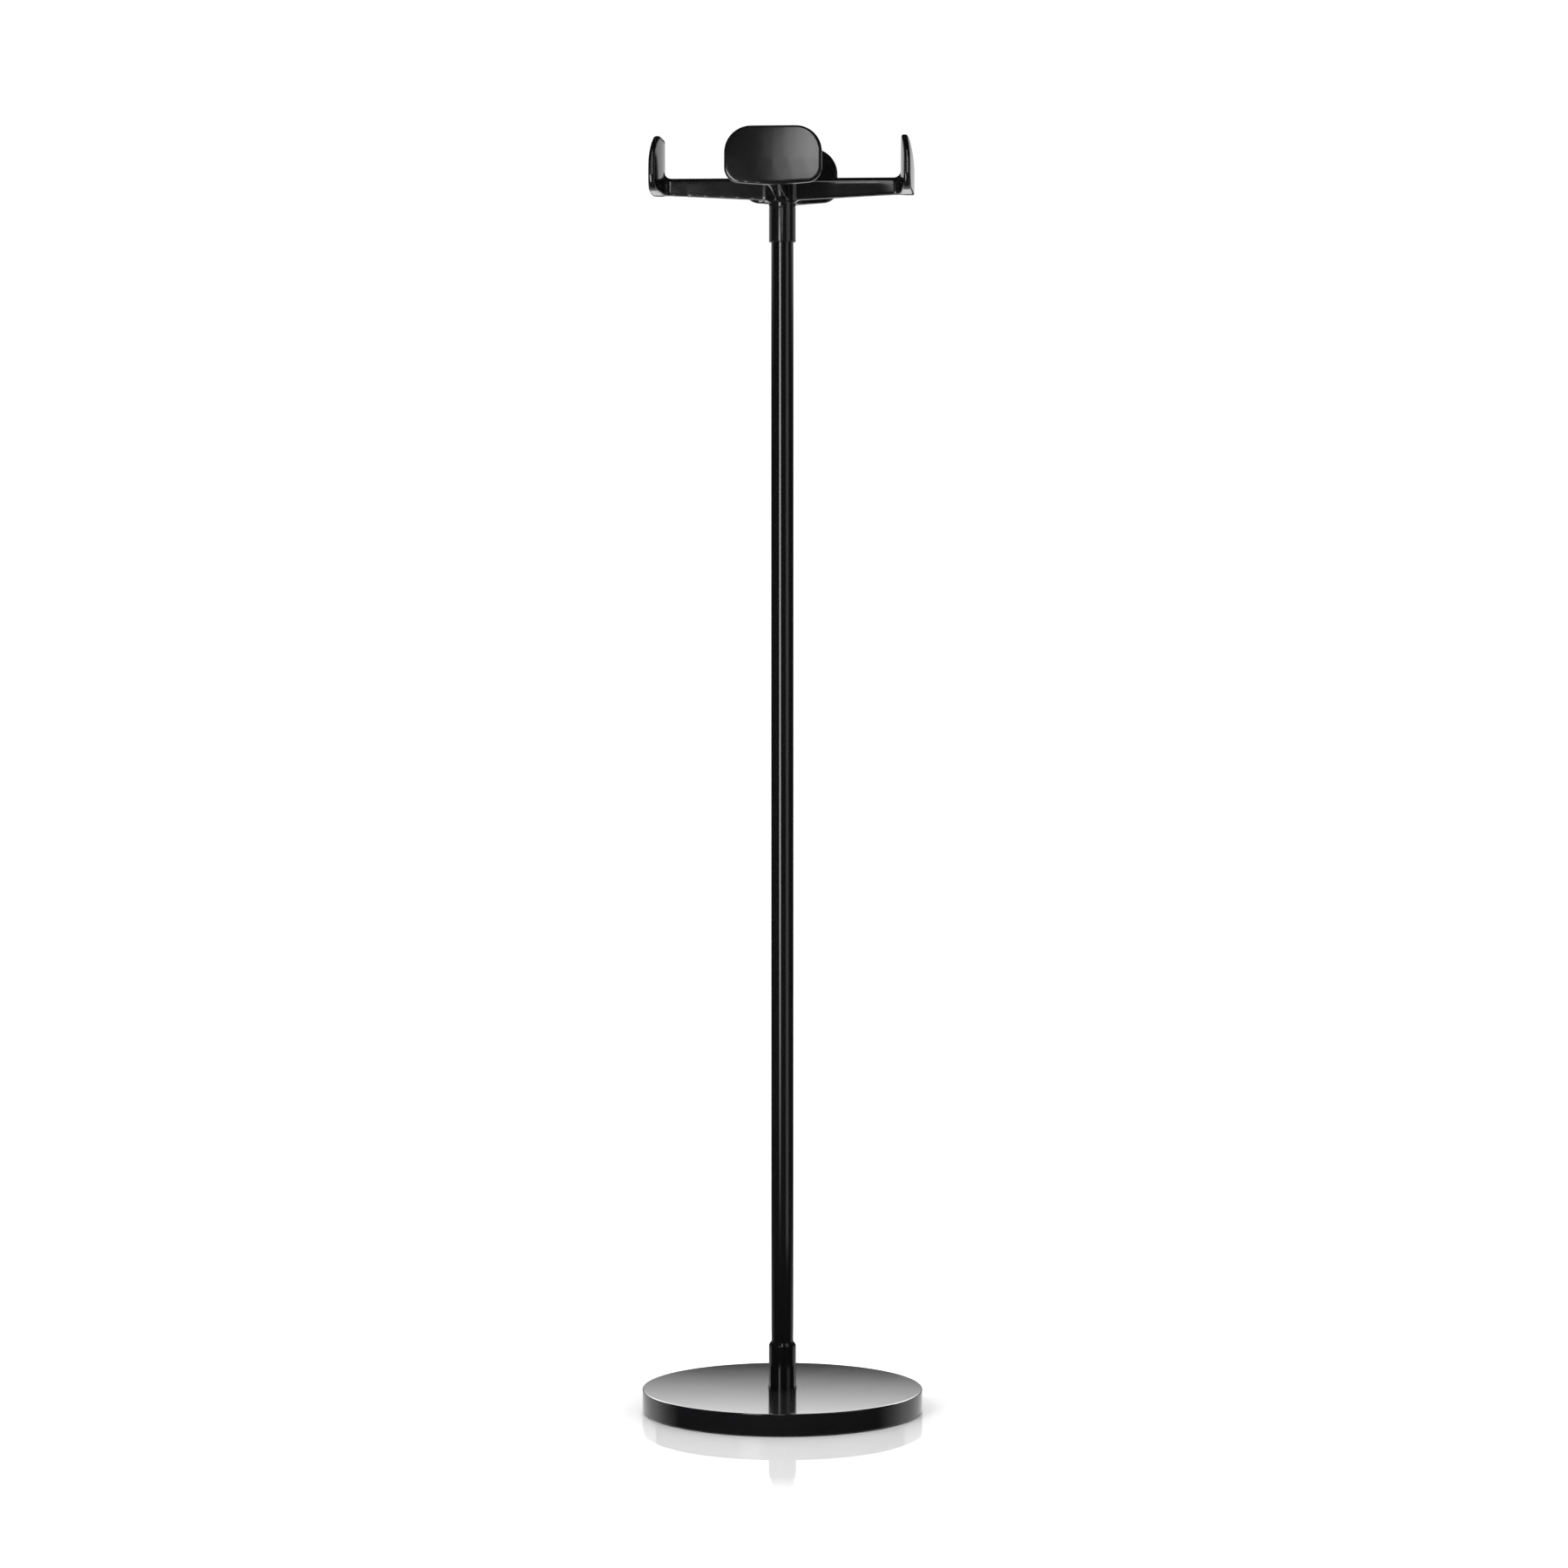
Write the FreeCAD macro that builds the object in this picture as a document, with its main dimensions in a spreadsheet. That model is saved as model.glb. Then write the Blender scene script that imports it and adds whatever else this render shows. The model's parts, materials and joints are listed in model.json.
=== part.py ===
import FreeCAD, Part
import math
import os
import Sketcher

# Free-standing coat rack: ballasted round base, tube pole and a turning four-arm head.
# Millimetres, +Z up, floor at z = 0, pole on the Z axis, arms along +X, +Y, -X and -Y.

SHEET = "Sizes"
AXES = {"x": ("DistanceX", -2), "y": ("DistanceY", -1)}

doc = FreeCAD.newDocument("coat_rack")
sheet = doc.addObject("Spreadsheet::Sheet", SHEET)


class Size:
    """A number together with the spreadsheet formula that gives it."""

    def __init__(self, value, text):
        self.value = float(value)
        self.text = text

    def __add__(self, other):
        other = as_size(other)
        return Size(self.value + other.value, f"({self.text} + {other.text})")

    def __sub__(self, other):
        other = as_size(other)
        return Size(self.value - other.value, f"({self.text} - {other.text})")

    def __mul__(self, other):
        other = as_size(other)
        return Size(self.value * other.value, f"({self.text} * {other.text})")

    def __truediv__(self, other):
        other = as_size(other)
        return Size(self.value / other.value, f"({self.text} / {other.text})")

    def __neg__(self):
        return Size(-self.value, f"(-{self.text})")


def sine(angle):
    return Size(math.sin(math.radians(angle.value)), f"sin({angle.text})")


def cosine(angle):
    return Size(math.cos(math.radians(angle.value)), f"cos({angle.text})")


def as_size(amount):
    return amount if isinstance(amount, Size) else Size(amount, repr(float(amount)))


def size(name, value):
    """Writes one driving dimension into the spreadsheet."""
    row = size.rows + 1
    size.rows = row
    sheet.set(f"A{row}", name)
    sheet.set(f"B{row}", str(value))
    sheet.setAlias(f"B{row}", name)
    return Size(value, f"{SHEET}.{name}")


size.rows = 0
ZERO = as_size(0)

# ---------------------------------------------------------------- driving dimensions
total_height = size("total_height", 1720)

base_radius = size("base_radius", 190)
base_height = size("base_height", 31)
cover_wall = size("cover_wall", 2)
cover_lift = size("cover_lift", 2)
cover_edge_round = size("cover_edge_round", 1.5)

foot_ring_height = size("foot_ring_height", 6)
foot_ring_width = size("foot_ring_width", 9.5)
foot_ring_gap = size("foot_ring_gap", 0.4)
foot_ring_edge = size("foot_ring_edge", 1)

ballast_gap = size("ballast_gap", 3)
ballast_web = size("ballast_web", 8)
ballast_rim = size("ballast_rim", 14)
ballast_hub_radius = size("ballast_hub_radius", 38)
ballast_rib_width = size("ballast_rib_width", 8)
ballast_ribs = size("ballast_ribs", 6)

base_plate_wall = size("base_plate_wall", 1.5)
base_plate_access = size("base_plate_access", 24)

bolt_radius = size("bolt_radius", 6)
bolt_clearance = size("bolt_clearance", 0.5)
bolt_head_flats = size("bolt_head_flats", 19)
bolt_head_height = size("bolt_head_height", 7.5)
bolt_head_bevel = size("bolt_head_bevel", 0.3)
bolt_head_bevel_height = size("bolt_head_bevel_height", 1.6)
bolt_head_clear = size("bolt_head_clear", 1)
bolt_point = size("bolt_point", 1.5)
bolt_recess_radius = size("bolt_recess_radius", 20)
bolt_recess_top = size("bolt_recess_top", 15)
base_washer_radius = size("base_washer_radius", 17)
base_washer_wall = size("base_washer_wall", 2.5)
lock_washer_radius = size("lock_washer_radius", 10.5)
lock_washer_wall = size("lock_washer_wall", 2.5)
lock_washer_slit = size("lock_washer_slit", 1.2)

plate_screw_circle = size("plate_screw_circle", 163)
plate_screw_radius = size("plate_screw_radius", 2.5)
plate_screw_head_radius = size("plate_screw_head_radius", 5)
plate_screw_head_height = size("plate_screw_head_height", 2.5)
plate_screw_head_round = size("plate_screw_head_round", 1.2)
plate_screw_point = size("plate_screw_point", 1)
plate_screw_length = size("plate_screw_length", 12)
plate_screw_boss = size("plate_screw_boss", 8)
plate_screw_drive = size("plate_screw_drive", 1.5)

seat_ring_radius = size("seat_ring_radius", 19.5)
seat_ring_wall = size("seat_ring_wall", 2)
socket_radius = size("socket_radius", 18.6)
socket_height = size("socket_height", 61)
socket_floor = size("socket_floor", 6)
socket_chamfer_width = size("socket_chamfer_width", 2.6)
socket_chamfer_height = size("socket_chamfer_height", 4.2)
socket_pin_radius = size("socket_pin_radius", 2.5)
socket_pin_circle = size("socket_pin_circle", 12)
socket_pin_length = size("socket_pin_length", 16)
socket_pin_bevel = size("socket_pin_bevel", 0.5)
socket_pin_web = size("socket_pin_web", 1)

tube_radius = size("tube_radius", 15)
tube_wall = size("tube_wall", 2)
tube_top = size("tube_top", 1612)
tube_fit = size("tube_fit", 0.05)
foot_plug_height = size("foot_plug_height", 32)

spindle_plug_height = size("spindle_plug_height", 35)
spindle_flange = size("spindle_flange", 3)
thrust_washer_wall = size("thrust_washer_wall", 1.5)
thrust_washer_radius = size("thrust_washer_radius", 14)
pivot_radius = size("pivot_radius", 6)
pivot_fit = size("pivot_fit", 0.05)
pivot_thread_radius = size("pivot_thread_radius", 5)
pivot_thread_length = size("pivot_thread_length", 22)
pivot_thread_point = size("pivot_thread_point", 1)
pivot_head_radius = size("pivot_head_radius", 9.5)
pivot_head_height = size("pivot_head_height", 6)
pivot_head_bevel = size("pivot_head_bevel", 0.8)
pivot_key_flats = size("pivot_key_flats", 6)
pivot_key_depth = size("pivot_key_depth", 3.5)
bush_wall = size("bush_wall", 3)
bush_flange = size("bush_flange", 1.5)
bush_length = size("bush_length", 8)
lower_bush_flange_radius = size("lower_bush_flange_radius", 13)
upper_bush_flange_radius = size("upper_bush_flange_radius", 11)
wave_washer_radius = size("wave_washer_radius", 10.5)
wave_washer_wall = size("wave_washer_wall", 1.5)
guide_bush_length = size("guide_bush_length", 10)
guide_bush_recess = size("guide_bush_recess", 1.8)
guide_bush_radius = size("guide_bush_radius", 16.4)

stem_bottom = size("stem_bottom", 1579.5)
stem_radius = size("stem_radius", 18)
stem_bore = size("stem_bore", 15.6)
stem_flare = size("stem_flare", 7)
stem_mouth_round = size("stem_mouth_round", 0.8)
hub_web = size("hub_web", 18)
hub_corner = size("hub_corner", 18)
arms = size("arms", 4)
arm_top = size("arm_top", 1665.5)
arm_thickness = size("arm_thickness", 16)
arm_top_round = size("arm_top_round", 7)
arm_depth_at_hub = size("arm_depth_at_hub", 29.5)
arm_depth_at_root = size("arm_depth_at_root", 23)
arm_root_reach = size("arm_root_reach", 150)
arm_root_overlap = size("arm_root_overlap", 1)
arm_root_round = size("arm_root_round", 9.5)

paddle_reach = size("paddle_reach", 176)
paddle_width = size("paddle_width", 128)
paddle_depth = size("paddle_depth", 17)
paddle_edge_depth = size("paddle_edge_depth", 8)
paddle_face_bow = size("paddle_face_bow", 1.5)
paddle_lean = size("paddle_lean", 6.8)
paddle_lean_height = size("paddle_lean_height", 45)
paddle_crown = size("paddle_crown", 3)
paddle_crown_height = size("paddle_crown_height", 9)
paddle_top_round = size("paddle_top_round", 35)
paddle_foot_round = size("paddle_foot_round", 19.5)
paddle_foot_slope = size("paddle_foot_slope", 4)
paddle_rim_round = size("paddle_rim_round", 1.0)

cap_radius = size("cap_radius", 11.5)
cap_wall = size("cap_wall", 1.5)
cap_skirt = size("cap_skirt", 8)
cap_crown = size("cap_crown", 0.6)

# How far a cutting outline runs past what it cuts.
cut_margin = size("cut_margin", 5)

doc.recompute()

# ---------------------------------------------------------------- levels above the floor
ballast_top = base_height - cover_wall
socket_bottom = base_height + seat_ring_wall
tube_bottom = socket_bottom + socket_floor
spindle_top = tube_top + spindle_flange
web_bottom = spindle_top + thrust_washer_wall + bush_flange
web_top = web_bottom + hub_web
pivot_head_bottom = web_top + bush_flange + wave_washer_wall
bush_outer = pivot_radius + bush_wall

# Where a paddle's lower corner starts, sideways, and how far its end is above the bottom edge.
foot_start = paddle_width / 2 - paddle_foot_round * (-sine(paddle_foot_slope) + 1)
foot_rise = (
    (foot_start - arm_thickness / 2) * sine(paddle_foot_slope) / cosine(paddle_foot_slope)
    + paddle_foot_round * cosine(paddle_foot_slope)
)


# ---------------------------------------------------------------- sketch and feature helpers
def plane_of(body, role):
    return next(f for f in body.Origin.OriginFeatures if f.Role == role)


def new_body(label, level=ZERO):
    """An empty body whose own origin stands at a level above the floor."""
    body = doc.addObject("PartDesign::Body", label)
    body.Label = label
    if level.value:
        body.setExpression("Placement.Base.z", level.text)
    return body


def new_sketch(body, name, role="XZ_Plane", offset=ZERO):
    sketch = body.newObject("Sketcher::SketchObject", name)
    sketch.AttachmentSupport = [(plane_of(body, role), "")]
    sketch.MapMode = "FlatFace"
    if offset.value:
        sketch.setExpression("AttachmentOffset.Base.z", offset.text)
    return sketch


def bind(sketch, constraint, amount):
    index = sketch.addConstraint(constraint)
    sketch.setExpression(f"Constraints[{index}]", amount.text)


def pin_point(sketch, geometry, end, point):
    """Fixes one point of a sketch at a pair of sizes."""
    for axis, amount in zip("xy", point):
        kind, zero_line = AXES[axis]
        if abs(amount.value) < 1e-9:
            sketch.addConstraint(Sketcher.Constraint("PointOnObject", geometry, end, zero_line))
        else:
            bind(sketch, Sketcher.Constraint(kind, -1, 1, geometry, end, amount.value), amount)


def vector(point):
    return FreeCAD.Vector(point[0].value, point[1].value, 0)


def bow_radius(half_chord, bow):
    """Radius of the arc that rises by bow over half its chord."""
    return (half_chord * half_chord + bow * bow) / (bow * 2)


def add_arc(sketch, start, end, radius):
    """Adds the short arc from start to end, bulging to the right of the way if radius is positive."""
    first, last = vector(start), vector(end)
    chord = last - first
    right = FreeCAD.Vector(chord.y, -chord.x, 0).normalize()
    to_centre = math.sqrt(radius.value ** 2 - (chord.Length / 2) ** 2)
    centre = (first + last) * 0.5 - right * math.copysign(to_centre, radius.value)
    angles = [math.atan2(point.y - centre.y, point.x - centre.x) for point in (first, last)]
    outward = radius.value > 0
    circle = Part.Circle(centre, FreeCAD.Vector(0, 0, 1), abs(radius.value))
    index = sketch.addGeometry(Part.ArcOfCircle(circle, *(angles if outward else angles[::-1])))
    amount = radius if outward else -radius
    bind(sketch, Sketcher.Constraint("Radius", index, amount.value), amount)
    return index, (1, 2) if outward else (2, 1)


def add_loop(sketch, corners, arcs=None):
    """A closed outline through the corners; side i is an arc where arcs gives its radius."""
    arcs = arcs or {}
    sides = []
    for number, start in enumerate(corners):
        end = corners[(number + 1) % len(corners)]
        if number in arcs:
            sides.append(add_arc(sketch, start, end, arcs[number]))
        else:
            sides.append((sketch.addGeometry(Part.LineSegment(vector(start), vector(end))), (1, 2)))
    for number, (geometry, ends) in enumerate(sides):
        following, following_ends = sides[(number + 1) % len(sides)]
        sketch.addConstraint(
            Sketcher.Constraint("Coincident", geometry, ends[1], following, following_ends[0])
        )
        pin_point(sketch, geometry, ends[0], corners[number])


def add_circle(sketch, radius, centre=(ZERO, ZERO)):
    circle = Part.Circle(vector(centre), FreeCAD.Vector(0, 0, 1), radius.value)
    index = sketch.addGeometry(circle)
    pin_point(sketch, index, 3, centre)
    bind(sketch, Sketcher.Constraint("Radius", index, radius.value), radius)


def add_polygon(sketch, flats, sides=6):
    """A regular polygon about the origin, given its width across flats."""
    reach = flats / (2 * math.cos(math.pi / sides))
    corners = []
    for number in range(sides):
        angle = 2 * math.pi * (number + 0.5) / sides
        corners.append((reach * math.cos(angle), reach * math.sin(angle)))
    add_loop(sketch, corners)


def sketch_axis(sketch, start, end):
    """Adds a construction line to turn about and returns its name; it is the sketch's first line."""
    line = sketch.addGeometry(Part.LineSegment(vector(start), vector(end)), True)
    pin_point(sketch, line, 1, start)
    pin_point(sketch, line, 2, end)
    return "Axis0"


def add_box(sketch, low, high):
    add_loop(sketch, [low, (high[0], low[1]), high, (low[0], high[1])])


def feature(body, kind, name, profile=None, **sizes):
    """Adds a PartDesign feature and binds its properties to their sizes."""
    new = body.newObject(f"PartDesign::{kind}", name)
    if profile is not None:
        new.Profile = profile
        profile.Visibility = False
    for key, amount in sizes.items():
        if isinstance(amount, Size):
            new.setExpression(key, amount.text)
        else:
            setattr(new, key, amount)
    return new


def turn(body, name, corners, kind="Revolution", arcs=None):
    """Revolves an outline of (radius, height) corners about the body's Z axis."""
    sketch = new_sketch(body, f"{name}_profile")
    add_loop(sketch, corners, arcs)
    turned = feature(body, kind, name, sketch, Angle=360)
    turned.ReferenceAxis = (sketch, ["V_Axis"])
    return turned


def edges_of(shaped, test):
    """The names of a feature's edges that pass a test."""
    return [f"Edge{n}" for n, edge in enumerate(shaped.Shape.Edges, 1) if test(edge)]


def round_edges(body, name, base, test, radius, kind="Fillet", key="Radius"):
    doc.recompute()
    rounded = body.newObject(f"PartDesign::{kind}", name)
    rounded.Base = (base, edges_of(base, test))
    rounded.setExpression(key, radius.text)
    doc.recompute()
    return rounded


def around(body, name, originals, count):
    """Repeats features evenly about the body's Z axis."""
    pattern = body.newObject("PartDesign::PolarPattern", name)
    pattern.Originals = originals
    pattern.Axis = (plane_of(body, "Z_Axis"), [""])
    pattern.Angle = 360
    pattern.Occurrences = int(count.value)
    body.Tip = pattern
    return pattern


def copies(label, master, level, count, radius):
    """Copies of one fastener on a circle, kept together as separate solids of one node."""
    links = []
    for number in range(count):
        angle = 2 * math.pi * number / count
        link = doc.addObject("App::Link", f"{label}_{number + 1}")
        link.LinkedObject = master
        link.setExpression("Placement.Base.x", (radius * math.cos(angle)).text)
        link.setExpression("Placement.Base.y", (radius * math.sin(angle)).text)
        link.setExpression("Placement.Base.z", level.text)
        links.append(link)
    group = doc.addObject("Part::Compound", label)
    group.Label = label
    group.Links = links
    return group


def circle_edge(radius, level):
    """A test for the circular edge of one radius, about the Z axis, at one height."""

    def test(edge):
        curve = edge.Curve
        return (
            isinstance(curve, Part.Circle)
            and abs(curve.Radius - radius.value) < 0.01
            and abs(curve.Center.z - level.value) < 0.01
        )

    return test


# ---------------------------------------------------------------- base
def make_base_cover():
    """Spun steel shell: flat top, short skirt and the holes under the pole socket."""
    body = new_body("base_cover", cover_lift)
    top = base_height - cover_lift
    hole = bolt_radius + bolt_clearance
    inner = base_radius - cover_wall
    shell = turn(body, "shell", [
        (hole, top - cover_wall),
        (inner, top - cover_wall),
        (inner, ZERO),
        (base_radius, ZERO),
        (base_radius, top),
        (hole, top),
    ])
    rim = round_edges(body, "rim_round", shell, circle_edge(base_radius, top), cover_edge_round)
    round_edges(body, "skirt_round", rim, circle_edge(base_radius, ZERO), cover_wall / 4)
    holes = new_sketch(body, "pin_holes_profile", "XY_Plane", top)
    for side in (socket_pin_circle, -socket_pin_circle):
        add_circle(holes, socket_pin_radius, (side, ZERO))
    feature(body, "Pocket", "pin_holes", holes, Length=cover_wall * 2)
    return body


def make_ballast():
    """Cast-iron disc: web on top, thick rim, ribs, centre boss and tapped screw bosses below."""
    body = new_body("ballast_disc", foot_ring_height)
    radius = base_radius - cover_wall - ballast_gap
    top = ballast_top - foot_ring_height
    web = top - ballast_web
    turn(body, "disc", [
        (bolt_radius + bolt_clearance, bolt_recess_top - foot_ring_height),
        (bolt_recess_radius, bolt_recess_top - foot_ring_height),
        (bolt_recess_radius, ZERO),
        (ballast_hub_radius, ZERO),
        (ballast_hub_radius, web),
        (radius - ballast_rim, web),
        (radius - ballast_rim, ZERO),
        (radius, ZERO),
        (radius, top),
        (bolt_radius + bolt_clearance, top),
    ])
    rib_profile = new_sketch(body, "rib_profile", "XY_Plane")
    add_box(
        rib_profile,
        (ballast_hub_radius - 2, -(ballast_rib_width / 2)),
        (radius - ballast_rim + 2, ballast_rib_width / 2),
    )
    rib = feature(body, "Pad", "rib", rib_profile, Length=web + 1)
    boss_profile = new_sketch(body, "boss_profile", "XY_Plane")
    add_circle(boss_profile, plate_screw_boss, (plate_screw_circle, ZERO))
    boss = feature(body, "Pad", "boss", boss_profile, Length=web + 1)
    screw_profile = new_sketch(body, "screw_hole_profile", "XY_Plane")
    add_circle(screw_profile, plate_screw_radius, (plate_screw_circle, ZERO))
    screw_hole = feature(body, "Pocket", "screw_hole", screw_profile, Reversed=True,
                         Length=plate_screw_length - base_plate_wall + 2)
    around(body, "ribs", [rib, boss, screw_hole], ballast_ribs)
    pins = new_sketch(body, "pin_holes_profile", "XY_Plane", top)
    for side in (socket_pin_circle, -socket_pin_circle):
        add_circle(pins, socket_pin_radius, (side, ZERO))
    feature(body, "Pocket", "pin_holes", pins, Length=ballast_web)
    return body


def make_base_plate():
    """Steel closing plate under the ballast, with the bolt access hole and six screw holes."""
    body = new_body("base_plate", foot_ring_height - base_plate_wall)
    radius = base_radius - cover_wall - foot_ring_gap - foot_ring_width - 0.5
    turn(body, "plate", [
        (base_plate_access, ZERO),
        (radius, ZERO),
        (radius, base_plate_wall),
        (base_plate_access, base_plate_wall),
    ])
    hole_profile = new_sketch(body, "screw_hole_profile", "XY_Plane")
    add_circle(hole_profile, plate_screw_radius + 0.3, (plate_screw_circle, ZERO))
    hole = feature(body, "Pocket", "screw_hole", hole_profile, Reversed=True,
                   Length=base_plate_wall * 2)
    around(body, "screw_holes", [hole], ballast_ribs)
    return body


def make_plate_screws():
    """Six pan-head screws that hold the base plate to the ballast."""
    head_bottom = foot_ring_height - base_plate_wall - plate_screw_head_height
    body = new_body("plate_screw", head_bottom)
    head = plate_screw_head_height
    tip = head + plate_screw_length
    shank = turn(body, "screw", [
        (ZERO, ZERO),
        (plate_screw_head_radius, ZERO),
        (plate_screw_head_radius, head),
        (plate_screw_radius, head),
        (plate_screw_radius, tip - plate_screw_point),
        (plate_screw_radius - plate_screw_point, tip),
        (ZERO, tip),
    ])
    round_edges(body, "head_round", shank, circle_edge(plate_screw_head_radius, ZERO), plate_screw_head_round)
    drive = new_sketch(body, "drive_profile", "XY_Plane")
    add_polygon(drive, plate_screw_drive * 2)
    feature(body, "Pocket", "drive", drive, Reversed=True, Length=plate_screw_drive)
    return copies("base_plate_screws", body, head_bottom, int(ballast_ribs.value), plate_screw_circle)


def make_foot_ring():
    """Rubber ring that the whole stand rests on."""
    body = new_body("foot_ring")
    outer = base_radius - cover_wall - foot_ring_gap
    inner = outer - foot_ring_width
    turn(body, "ring", [
        (inner + foot_ring_edge, ZERO),
        (outer - foot_ring_edge, ZERO),
        (outer, foot_ring_edge),
        (outer, foot_ring_height),
        (inner, foot_ring_height),
        (inner, foot_ring_edge),
    ])
    return body


def make_base_bolt():
    """Hexagon-head bolt that draws the pole down onto the base from below."""
    head_bottom = bolt_recess_top - base_washer_wall - lock_washer_wall - bolt_head_height
    body = new_body("base_bolt", head_bottom)
    length = tube_bottom + foot_plug_height - 4 - head_bottom
    head = new_sketch(body, "head_profile", "XY_Plane")
    add_polygon(head, bolt_head_flats)
    feature(body, "Pad", "head", head, Length=bolt_head_height)
    turn(body, "shank", [
        (ZERO, bolt_head_height / 2),
        (bolt_radius, bolt_head_height / 2),
        (bolt_radius, length - bolt_point),
        (bolt_radius - bolt_point, length),
        (ZERO, length),
    ])
    corner = bolt_head_flats / (2 * math.cos(math.pi / 6)) + bolt_head_clear
    turn(body, "head_chamfer", [
        (bolt_head_flats / 2 - bolt_head_bevel, ZERO),
        (corner, ZERO),
        (corner, bolt_head_bevel_height),
    ], kind="Groove")
    return body


def make_washer(label, level, inner, outer, wall):
    body = new_body(label, level)
    turn(body, "ring", [(inner, ZERO), (outer, ZERO), (outer, wall), (inner, wall)])
    return body


def make_lock_washer():
    """Split spring washer under the bolt head."""
    level = bolt_recess_top - base_washer_wall - lock_washer_wall
    body = make_washer("lock_washer", level, bolt_radius + 0.2, lock_washer_radius, lock_washer_wall)
    slit = new_sketch(body, "slit_profile", "XY_Plane")
    half = lock_washer_slit / 2
    add_box(slit, (ZERO, -half), (lock_washer_radius + 1, half))
    feature(body, "Pocket", "slit", slit, Reversed=True, Length=lock_washer_wall * 2)
    return body


# ---------------------------------------------------------------- pole
def make_seat_ring():
    body = make_washer("seat_ring", base_height, bolt_radius + bolt_clearance,
                       seat_ring_radius, seat_ring_wall)
    pins = new_sketch(body, "pin_holes_profile", "XY_Plane")
    for side in (socket_pin_circle, -socket_pin_circle):
        add_circle(pins, socket_pin_radius, (side, ZERO))
    feature(body, "Pocket", "pin_holes", pins, Reversed=True, Length=seat_ring_wall * 2)
    return body


def make_pole_socket():
    """Turned steel socket that the tube drops into, with a chamfered mouth."""
    body = new_body("pole_socket", socket_bottom)
    bore = tube_radius + tube_fit
    turn(body, "socket", [
        (bolt_radius + bolt_clearance, ZERO),
        (socket_radius, ZERO),
        (socket_radius, socket_height - socket_chamfer_height),
        (socket_radius - socket_chamfer_width, socket_height),
        (bore, socket_height),
        (bore, socket_floor),
        (bolt_radius + bolt_clearance, socket_floor),
    ])
    pins = new_sketch(body, "pin_holes_profile", "XY_Plane")
    for side in (socket_pin_circle, -socket_pin_circle):
        add_circle(pins, socket_pin_radius, (side, ZERO))
    feature(body, "Pocket", "pin_holes", pins, Reversed=True, Length=socket_floor - socket_pin_web)
    return body


def make_socket_pins():
    """Two dowels that stop the socket turning on the base."""
    level = socket_bottom + socket_floor - socket_pin_web - socket_pin_length
    body = new_body("socket_pin", level)
    turn(body, "pin", [
        (ZERO, ZERO),
        (socket_pin_radius - socket_pin_bevel, ZERO),
        (socket_pin_radius, socket_pin_bevel),
        (socket_pin_radius, socket_pin_length - socket_pin_bevel),
        (socket_pin_radius - socket_pin_bevel, socket_pin_length),
        (ZERO, socket_pin_length),
    ])
    return copies("socket_pins", body, level, 2, socket_pin_circle)


def make_pole_tube():
    body = new_body("pole_tube", tube_bottom)
    profile = new_sketch(body, "tube_profile", "XY_Plane")
    add_circle(profile, tube_radius)
    add_circle(profile, tube_radius - tube_wall)
    feature(body, "Pad", "tube", profile, Length=tube_top - tube_bottom)
    return body


def make_tube_foot_plug():
    """Threaded plug fixed in the lower end of the tube."""
    return make_washer("tube_foot_plug", tube_bottom, bolt_radius, tube_radius - tube_wall,
                       foot_plug_height)


# ---------------------------------------------------------------- pivot of the head
def make_spindle_plug():
    """Flanged plug fixed in the upper end of the tube, tapped for the pivot bolt."""
    body = new_body("spindle_plug", tube_top - spindle_plug_height)
    bore = tube_radius - tube_wall
    turn(body, "plug", [
        (pivot_thread_radius, ZERO),
        (bore, ZERO),
        (bore, spindle_plug_height),
        (tube_radius, spindle_plug_height),
        (tube_radius, spindle_plug_height + spindle_flange),
        (pivot_thread_radius, spindle_plug_height + spindle_flange),
    ])
    return body


def make_pivot_bolt():
    """Shoulder bolt that the head turns on."""
    body = new_body("pivot_bolt", spindle_top - pivot_thread_length)
    shoulder = pivot_thread_length
    head = pivot_head_bottom - spindle_top + pivot_thread_length
    top = head + pivot_head_height
    turn(body, "bolt", [
        (ZERO, ZERO),
        (pivot_thread_radius - pivot_thread_point, ZERO),
        (pivot_thread_radius, pivot_thread_point),
        (pivot_thread_radius, shoulder),
        (pivot_radius, shoulder),
        (pivot_radius, head),
        (pivot_head_radius, head),
        (pivot_head_radius, top - pivot_head_bevel),
        (pivot_head_radius - pivot_head_bevel, top),
        (ZERO, top),
    ])
    key = new_sketch(body, "key_profile", "XY_Plane", top)
    add_polygon(key, pivot_key_flats)
    feature(body, "Pocket", "key", key, Length=pivot_key_depth)
    return body


def make_flanged_bush(label, level, flange_radius, flange_up):
    """Plain bearing bush; its flange faces the washer, above or below the hub web."""
    body = new_body(label, level)
    bore = pivot_radius + pivot_fit
    length = bush_length + bush_flange
    if flange_up:
        steps = [(bush_outer, ZERO), (bush_outer, bush_length), (flange_radius, bush_length),
                 (flange_radius, length)]
    else:
        steps = [(flange_radius, ZERO), (flange_radius, bush_flange), (bush_outer, bush_flange),
                 (bush_outer, length)]
    turn(body, "bush", [(bore, ZERO)] + steps + [(bore, length)])
    return body


# ---------------------------------------------------------------- head
def make_head_casting():
    """One casting: stem, hub, four arms and four upright paddles."""
    body = new_body("head_casting", stem_bottom)
    top = arm_top - stem_bottom
    root = top - arm_depth_at_root
    blank_floor = top - arm_depth_at_hub - cut_margin * 2
    make_arm_cross(body, blank_floor, top)
    blanks = make_paddle_blanks(body, blank_floor)
    round_edges(body, "paddle_roots", blanks, is_root_edge, arm_root_round)
    trimmed = make_paddle_outlines(body, root)
    round_edges(body, "paddle_rims", trimmed, is_rim_edge, paddle_rim_round)
    make_underside(body, top, root)
    make_stem(body, top)
    return body


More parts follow.
